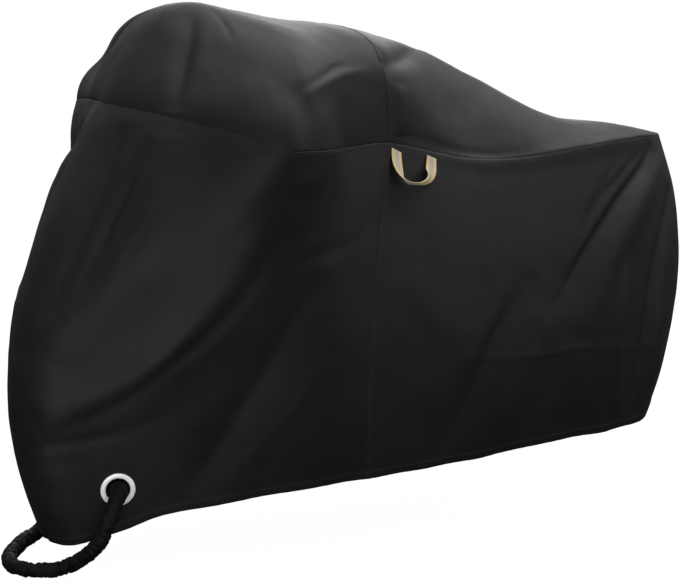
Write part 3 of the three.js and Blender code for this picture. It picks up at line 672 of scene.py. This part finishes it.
def stitching(name, lines):
    """All the stitches of one seam as one piece."""
    centre, along, out = (np.concatenate(parts) for parts in zip(*(stitches(*line) for line in lines)))
    side = np.cross(along, out)
    thick, rings = THREAD.thick / 2, []
    for share, swell, drop in STITCH_RINGS:
        middle = centre + along * share * THREAD.long + out * (THREAD.lift + drop * thick)
        for corner in range(STITCH_SIDES):
            angle = 2 * np.pi * (corner + 0.5) / STITCH_SIDES
            rings.append(middle + thick * swell * (side * np.cos(angle) + out * np.sin(angle)))
    points = np.stack(rings, axis=1).reshape(-1, 3)
    ring = np.arange(STITCH_SIDES)
    beside = (ring + 1) % STITCH_SIDES
    last = len(rings) - STITCH_SIDES
    faces = [ring[::-1], ring + last]
    for start in range(0, last, STITCH_SIDES):
        faces += list(np.stack([ring, beside, beside + STITCH_SIDES, ring + STITCH_SIDES], axis=1) + start)
    faces = np.array(faces)[None] + len(rings) * np.arange(len(centre))[:, None, None]
    return mesh_piece(name, points, faces.reshape(-1, 4).tolist())


# Eyelets

def eyelet(node):
    """A two-part pressed eyelet: a ring drawn out of a circle, section point by section point."""
    bpy.ops.object.select_all(action="DESELECT")
    radius, height = EYELET_SECTION[0]
    bpy.ops.mesh.primitive_circle_add(vertices=EYELET_SIDES, radius=radius, location=(0, 0, height))
    piece = bpy.context.object
    piece.name = node + "_ring"
    bpy.ops.object.mode_set(mode="EDIT")
    bpy.ops.mesh.select_all(action="SELECT")
    for next_radius, next_height in EYELET_SECTION[1:] + EYELET_SECTION[:1]:
        step = (0, 0, next_height - height)
        bpy.ops.mesh.extrude_region_move(TRANSFORM_OT_translate={"value": step})
        scale = next_radius / radius
        bpy.ops.transform.resize(value=(scale, scale, 1), center_override=(0, 0, next_height))
        radius, height = next_radius, next_height
    bpy.ops.mesh.select_all(action="SELECT")
    bpy.ops.mesh.remove_doubles(threshold=MERGE_GAP)
    bpy.ops.mesh.normals_make_consistent(inside=False)
    bpy.ops.object.mode_set(mode="OBJECT")
    apply_modifier(piece, "SUBSURF", levels=1, render_levels=1)
    only(piece)
    piece.matrix_world = eyelet_matrix(node)
    bpy.ops.object.transform_apply(location=True, rotation=True, scale=True)
    piece.data.shade_smooth()
    return piece


# Webbing pull loop

def cloth_frame(station, height):
    """Points of the folded cloth and the ways out of it."""
    point = form(station, height)
    along = form(station + SLOPE_STEP, height) - form(station - SLOPE_STEP, height)
    up = form(station, height + SLOPE_STEP) - form(station, height - SLOPE_STEP)
    out = unit_rows(np.cross(along, up))
    return point + out * fold_rise(point, FOLDS, FOLD_STEPS)[:, None], out


def pull_loop():
    """A strip of webbing that turns edge-on at the bottom of the loop."""
    share = np.linspace(0, 1, LOOP.steps + 1)
    swing = np.maximum(np.sin(np.pi * share), 0)
    station = LOOP.first + (LOOP.second - LOOP.first) * (1 - np.cos(np.pi * share)) / 2
    station = station + LOOP.drift * swing ** 2
    point, out = cloth_frame(station, LOOP.height - LOOP.reach * swing ** LOOP.fullness)
    stand = np.maximum(np.sin(np.pi * share ** LOOP.late), 0) ** LOOP.lean
    lift = LOOP.clearance + LOOP.thick / 2 + LOOP.proud * stand
    centre = point + out * lift[:, None]
    forward = unit_rows(np.gradient(centre, axis=0))
    turn = (LOOP.slant * swing ** LOOP.twist)[:, None]
    across = np.cross((0, 0, 1), out) * np.cos(turn) - out * np.sin(turn)
    across = unit_rows(across - forward * np.sum(across * forward, axis=1, keepdims=True))
    spread = np.linspace(-LOOP.wide / 2, LOOP.wide / 2, LOOP.across + 1)
    points = centre[:, None] + across[:, None] * spread[None, :, None]
    uv = np.stack(np.meshgrid(spread, run_lengths(centre)), axis=-1).reshape(-1, 2)
    faces = grid_faces(numbered(points.shape[:2]))
    piece = mesh_piece("pull_loop_webbing", points.reshape(-1, 3), faces.tolist(), uv[faces])
    apply_modifier(piece, "SOLIDIFY", thickness=LOOP.thick, offset=0)
    apply_modifier(piece, "BEVEL", width=LOOP.thick / 4, segments=2, limit_method="ANGLE")
    return piece


# Lock rope

def rope_centre():
    """The rope's centreline through its route, evenly spaced, and the length to each of its points."""
    route = in_frame(ROPE_ROUTE)
    route = np.concatenate([[2 * route[0] - route[1]], route, [2 * route[-1] - route[-2]]])
    share = np.linspace(0, 1, ROPE.steps, endpoint=False)[:, None]
    passes = [smooth_pass(*route[first:first + 4, None], share) for first in range(len(route) - 3)]
    line = np.concatenate(passes + [route[-2][None]])
    length = run_lengths(line)
    spots = np.linspace(0, length[-1], ROPE.rings)
    return rows_at(spots, length, line), spots


def carried_frames(line):
    """Two ways across a line at each of its points, carried along it without twist."""
    forward = unit_rows(np.gradient(line, axis=0))
    across = np.zeros_like(line)
    across[0] = unit_rows(np.cross(forward[0], (0, 0, 1)))
    for place in range(1, len(line)):
        carried = across[place - 1] - forward[place] * (across[place - 1] @ forward[place])
        across[place] = unit_rows(carried)
    return across, np.cross(forward, across)


def sleeve_radius(along, angle, bunches):
    """The sleeve's radius: uneven gathers part of the way round, softer lumps and bunches in the eyelets."""
    def swell(size, rounds, shift):
        places = np.broadcast_arrays(rounds * np.cos(angle) + shift, rounds * np.sin(angle), along / size)
        values = [noise.noise(Vector(place)) for place in zip(*(part.ravel() for part in places))]
        return np.reshape(values, places[0].shape)

    gathers = 0.5 - np.abs(swell(ROPE.gather, rounds=ROPE.gather_round, shift=0)) * 2
    lumps = swell(ROPE.lump, rounds=1, shift=7)
    bunched = sum(np.exp(-((along - spot) / ROPE.bunch) ** 2) for spot in bunches)
    return (ROPE.radius + ROPE.gather_rise * gathers + ROPE.lump_rise * lumps
            + ROPE.bunch_rise * bunched)


def lock_rope():
    """The sleeved rope as one tube, and the line that it follows."""
    line, along = rope_centre()
    across, over = carried_frames(line)
    angle = 2 * np.pi * np.arange(ROPE.sides) / ROPE.sides
    rings = [eyelet_place(node)[0] for node in EYELETS]
    bunches = [along[np.argmin(np.linalg.norm(line - np.array(ring), axis=1))] for ring in rings]
    radius = sleeve_radius(along[:, None], angle[None], bunches)[..., None]
    ways = across[:, None] * np.cos(angle)[None, :, None] + over[:, None] * np.sin(angle)[None, :, None]
    points = line[:, None] + radius * ways
    index = numbered(points.shape[:2])
    faces = grid_faces(np.concatenate([index, index[:, :1]], axis=1)).tolist()
    faces += [index[0][::-1].tolist(), index[-1].tolist()]
    turn = np.append(angle, 2 * np.pi) * ROPE.radius
    uv = np.stack(np.meshgrid(turn, along), axis=-1)
    wall_uv = uv.reshape(-1, 2)[grid_faces(numbered(uv.shape[:2]))].reshape(-1, 2)
    corner_uv = np.concatenate([wall_uv, np.zeros((2 * ROPE.sides, 2))])
    return mesh_piece("lock_rope_sleeve", points.reshape(-1, 3), faces, corner_uv), line


# Finishes

def add_node(tree, kind, inputs=None, **settings):
    """A node with its settings; an input is a value or another node's output."""
    made = tree.nodes.new(kind)
    for key, value in settings.items():
        setattr(made, key, value)
    for key, value in (inputs or {}).items():
        if isinstance(value, bpy.types.NodeSocket):
            tree.links.new(value, made.inputs[key])
        else:
            made.inputs[key].default_value = value
    return made


def math_node(tree, operation, *values):
    """The output of one Math node."""
    return add_node(tree, "ShaderNodeMath", dict(enumerate(values)), operation=operation).outputs[0]


def stretched(tree, value, **ends):
    """A value moved from one range to another; each range is 0 to 1 unless its ends are given."""
    inputs = {key.replace("_", " "): end for key, end in ends.items()}
    return add_node(tree, "ShaderNodeMapRange", {"Value": value, **inputs}).outputs["Result"]


def mixed_colour(tree, factor, low, high):
    """The colour that goes from one colour to another with a factor."""
    mix = add_node(tree, "ShaderNodeMix", {"Factor": factor}, data_type="RGBA")
    ends = [socket for socket in mix.inputs if socket.type == "RGBA"]
    for socket, colour in zip(ends, (low, high)):
        socket.default_value = (*colour, 1)
    return next(socket for socket in mix.outputs if socket.type == "RGBA")


def shade_group(name, place, size, output):
    """An empty node group from a place and a size to one value: its tree and its two ends."""
    tree = bpy.data.node_groups.new(name, "ShaderNodeTree")
    tree.interface.new_socket(place, in_out="INPUT", socket_type="NodeSocketVector")
    tree.interface.new_socket(size, in_out="INPUT", socket_type="NodeSocketFloat")
    tree.interface.new_socket(output, in_out="OUTPUT", socket_type="NodeSocketFloat")
    return tree, tree.nodes.new("NodeGroupInput"), tree.nodes.new("NodeGroupOutput")


def plain_weave_group():
    """Over-and-under threads, from a UV map in metres."""
    tree, start, end = shade_group("plain_weave", "UV", "Pitch", "Height")
    turns = math_node(tree, "DIVIDE", 2 * math.pi, start.outputs["Pitch"])
    parts = add_node(tree, "ShaderNodeSeparateXYZ", {"Vector": start.outputs["UV"]})
    turned = [math_node(tree, "MULTIPLY", parts.outputs[axis], turns) for axis in "XY"]
    waves = [math_node(tree, "SINE", angle) for angle in turned]
    height = math_node(tree, "MULTIPLY_ADD", math_node(tree, "MULTIPLY", *waves), 0.5, 0.5)
    tree.links.new(height, end.inputs["Height"])
    return tree


def cloud_group(name, output, span=None, **grain):
    """Soft noise of a given scale; where a span is given, its values across the span become 0 to 1."""
    tree, start, end = shade_group(name, "Vector", "Scale", output)
    given = {socket: start.outputs[socket] for socket in ("Vector", "Scale")}
    value = add_node(tree, "ShaderNodeTexNoise", {**given, **grain}).outputs["Fac"]
    if span:
        value = stretched(tree, value, From_Min=span[0], From_Max=span[1])
    tree.links.new(value, end.inputs[output])
    return tree


WEAVE = plain_weave_group()
# Soft small swells between finer creases, as handled cloth has.
CRUMPLE = cloud_group("crumpled_cloth", "Height", Detail=3, Roughness=0.45, Distortion=0.6)
# Cloudy patches where dust and handling have dulled a surface.
HANDLED = cloud_group("handled_patches", "Mask", span=(0.38, 0.68), Detail=8, Roughness=0.62)


class Finish:
    """One material with its Principled shader, its coordinates and a chain of bumps."""

    def __init__(self, name, **sockets):
        self.material = bpy.data.materials.new(name)
        self.material.use_nodes = True
        self.tree = self.material.node_tree
        self.shader = self.tree.nodes["Principled BSDF"]
        for socket, value in sockets.items():
            self.shader.inputs[socket.replace("_", " ")].default_value = value
        self.places = add_node(self.tree, "ShaderNodeTexCoord").outputs

    def feed(self, socket, value):
        """Leads a node's output to a socket of the shader."""
        self.tree.links.new(value, self.shader.inputs[socket])

    def group(self, tree, **inputs):
        """The output of a shared group placed in this material."""
        return add_node(self.tree, "ShaderNodeGroup", inputs, node_tree=tree).outputs[0]

    def bump(self, height, strength, depth):
        """Adds a bump on top of those that the shader has."""
        inputs = {"Height": height, "Strength": strength, "Distance": depth}
        for link in self.shader.inputs["Normal"].links:
            inputs["Normal"] = link.from_socket
        self.feed("Normal", add_node(self.tree, "ShaderNodeBump", inputs).outputs["Normal"])

    def woven(self, pitch, strength, depth):
        """Bump of a plain weave that follows the piece's UV map."""
        self.bump(self.group(WEAVE, UV=self.places["UV"], Pitch=pitch), strength, depth)

    def crumpled(self, scale, strength, depth):
        """Bump of soft small swells."""
        self.bump(self.group(CRUMPLE, Vector=self.places["Object"], Scale=scale), strength, depth)

    def handled(self, scale, low, high, roughness=None):
        """Base colour, and roughness where it is given, that change in cloudy patches."""
        patches = self.group(HANDLED, Vector=self.places["Object"], Scale=scale)
        self.feed("Base Color", mixed_colour(self.tree, patches, low, high))
        if roughness:
            self.feed("Roughness", stretched(self.tree, patches, To_Min=roughness[0], To_Max=roughness[1]))


def cover_cloth():
    """Black coated polyester: a close weave under a soft sheen, dulled in patches."""
    finish = Finish("cover_cloth", Specular_IOR_Level=0.15)
    finish.handled(5, low=(0.0082, 0.0082, 0.0084), high=(0.0108, 0.0108, 0.0111), roughness=(0.52, 0.62))
    finish.woven(pitch=0.0011, strength=0.25, depth=0.0002)
    finish.crumpled(scale=14, strength=0.25, depth=0.006)
    return finish.material


def eyelet_metal():
    """Bright nickel plate with fine handling marks."""
    finish = Finish("eyelet_metal", Metallic=0.1)
    finish.handled(90, low=(0.95, 0.95, 0.94), high=(0.86, 0.86, 0.85), roughness=(0.25, 0.38))
    return finish.material


def loop_webbing():
    """Ribbed webbing: golden selvages on either side of a grey middle."""
    finish = Finish("loop_webbing", Roughness=0.62, Specular_IOR_Level=0.35, Sheen_Weight=0.1)
    parts = add_node(finish.tree, "ShaderNodeSeparateXYZ", {"Vector": finish.places["UV"]})
    away = math_node(finish.tree, "ABSOLUTE", parts.outputs["X"])
    grey_to, gold_from = (LOOP.wide * share for share in LOOP.stripe)
    stripe = stretched(finish.tree, away, From_Min=grey_to, From_Max=gold_from)
    finish.feed("Base Color", mixed_colour(finish.tree, stripe, (0.37, 0.325, 0.265), (0.55, 0.42, 0.205)))
    finish.woven(pitch=0.0024, strength=0.7, depth=0.0006)
    return finish.material


def rope_sleeve():
    """Matt black sleeve cloth over the rope."""
    finish = Finish("rope_sleeve", Specular_IOR_Level=0.11)
    finish.handled(30, low=(0.0022, 0.0022, 0.0022), high=(0.0044, 0.0044, 0.0044), roughness=(0.65, 0.75))
    finish.woven(pitch=0.0012, strength=0.3, depth=0.0002)
    finish.crumpled(scale=120, strength=0.5, depth=0.0012)
    return finish.material


def sewing_thread():
    """Black thread, a little lighter than the cloth."""
    finish = Finish("sewing_thread", Roughness=0.55, Specular_IOR_Level=0.35, Sheen_Weight=0.07)
    finish.handled(200, low=(0.01, 0.01, 0.01), high=(0.02, 0.02, 0.02))
    return finish.material


# Studio

def seen_or_lit(tree, seen, lit):
    """One grey for the camera's own rays and another for the light that goes on to the cover."""
    rays = add_node(tree, "ShaderNodeLightPath")
    return mixed_colour(tree, rays.outputs["Is Camera Ray"], (lit,) * 3, (seen,) * 3)


def set_up(name, data, place, back):
    """A lamp or camera set up at a place, with its back to the given way."""
    made = bpy.data.objects.new(name, data)
    made.location = place
    made.rotation_mode = "QUATERNION"
    made.rotation_quaternion = back.to_track_quat("Z", "Y")
    bpy.context.scene.collection.objects.link(made)
    return made


def studio():
    """A pale floor, a pale surround and softboxes."""
    ground = in_frame((0, 0, 0))[2] - ROPE.lump_rise
    bpy.ops.object.select_all(action="DESELECT")
    bpy.ops.mesh.primitive_plane_add(size=FLOOR_SIZE, location=(0, 0, ground))
    floor = bpy.context.object
    floor.name = "studio_floor"
    finish = Finish("studio_floor", Roughness=0.9, Specular_IOR_Level=0, Emission_Strength=1)
    finish.feed("Base Color", seen_or_lit(finish.tree, **FLOOR_GREY))
    finish.feed("Emission Color", seen_or_lit(finish.tree, **FLOOR_GLOW))
    floor.data.materials.append(finish.material)
    world = bpy.data.worlds.new("studio")
    world.use_nodes = True
    background = world.node_tree.nodes["Background"]
    world.node_tree.links.new(seen_or_lit(world.node_tree, **WORLD_GREY), background.inputs["Color"])
    bpy.context.scene.world = world
    for name, row in SOFTBOXES.items():
        light = bpy.data.lights.new(name, "AREA")
        light.size = row.side
        light.energy = row.power
        lamp = set_up(name, light, row.place, Vector(row.place) - Vector(row.aim))
        lamp.visible_camera = False
    bpy.context.scene.view_settings.view_transform = "Standard"


def camera():
    """The photograph's viewpoint."""
    turn, tilt = math.radians(VIEW.azimuth), math.radians(VIEW.elevation)
    back = Vector((math.sin(turn) * math.cos(tilt), -math.cos(turn) * math.cos(tilt), math.sin(tilt)))
    lens = bpy.data.cameras.new("photo_view")
    lens.lens = VIEW.lens
    lens.sensor_width = VIEW.sensor
    lens.clip_end = 2 * FLOOR_SIZE
    bpy.context.scene.camera = set_up("photo_view", lens, Vector(VIEW.aim) + back * VIEW.distance, back)


# The cover

def sew_cover():
    """All four panels with the stitching along their seams."""
    cloth = Lattice()
    sides, top = slice(0, SIDE_ROWS + 1), slice(SIDE_ROWS, None)
    front = np.arange(cloth.right - len(cloth.columns), cloth.left + 1)
    rear = np.arange(cloth.left, cloth.right + 1)
    areas = dict(hood_panel=(front, top), seat_panel=(rear, top),
                 front_panel=(front, sides), rear_panel=(rear, sides))
    panels = {node: panel(cloth, node + "_cloth", *area) for node, area in areas.items()}
    for node in EYELETS:
        cut_eyelet_hole(panels["front_panel"], node)
    material, thread = cover_cloth(), sewing_thread()
    for node, piece in panels.items():
        finish_piece(piece, material, node)
    sewn = {name: finish_piece(stitching(name, lines), thread)
            for name, lines in seam_lines(cloth).items()}
    carried = dict(front_panel=[sewn["hem_stitching"], sewn["cross_stitching"]],
                   rear_panel=[sewn["edge_stitching"]])
    for node, piece in panels.items():
        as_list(carried.get(node, ()))


def fit_hardware():
    """The eyelets, the pull loop and the lock rope."""
    metal = eyelet_metal()
    for node in EYELETS:
        finish_piece(eyelet(node), metal, node)
    finish_piece(pull_loop(), loop_webbing(), "pull_loop")
    rope, line = lock_rope()
    finish_piece(rope, rope_sleeve(), "lock_rope")


camera()
fit_hardware()
sew_cover()
studio()
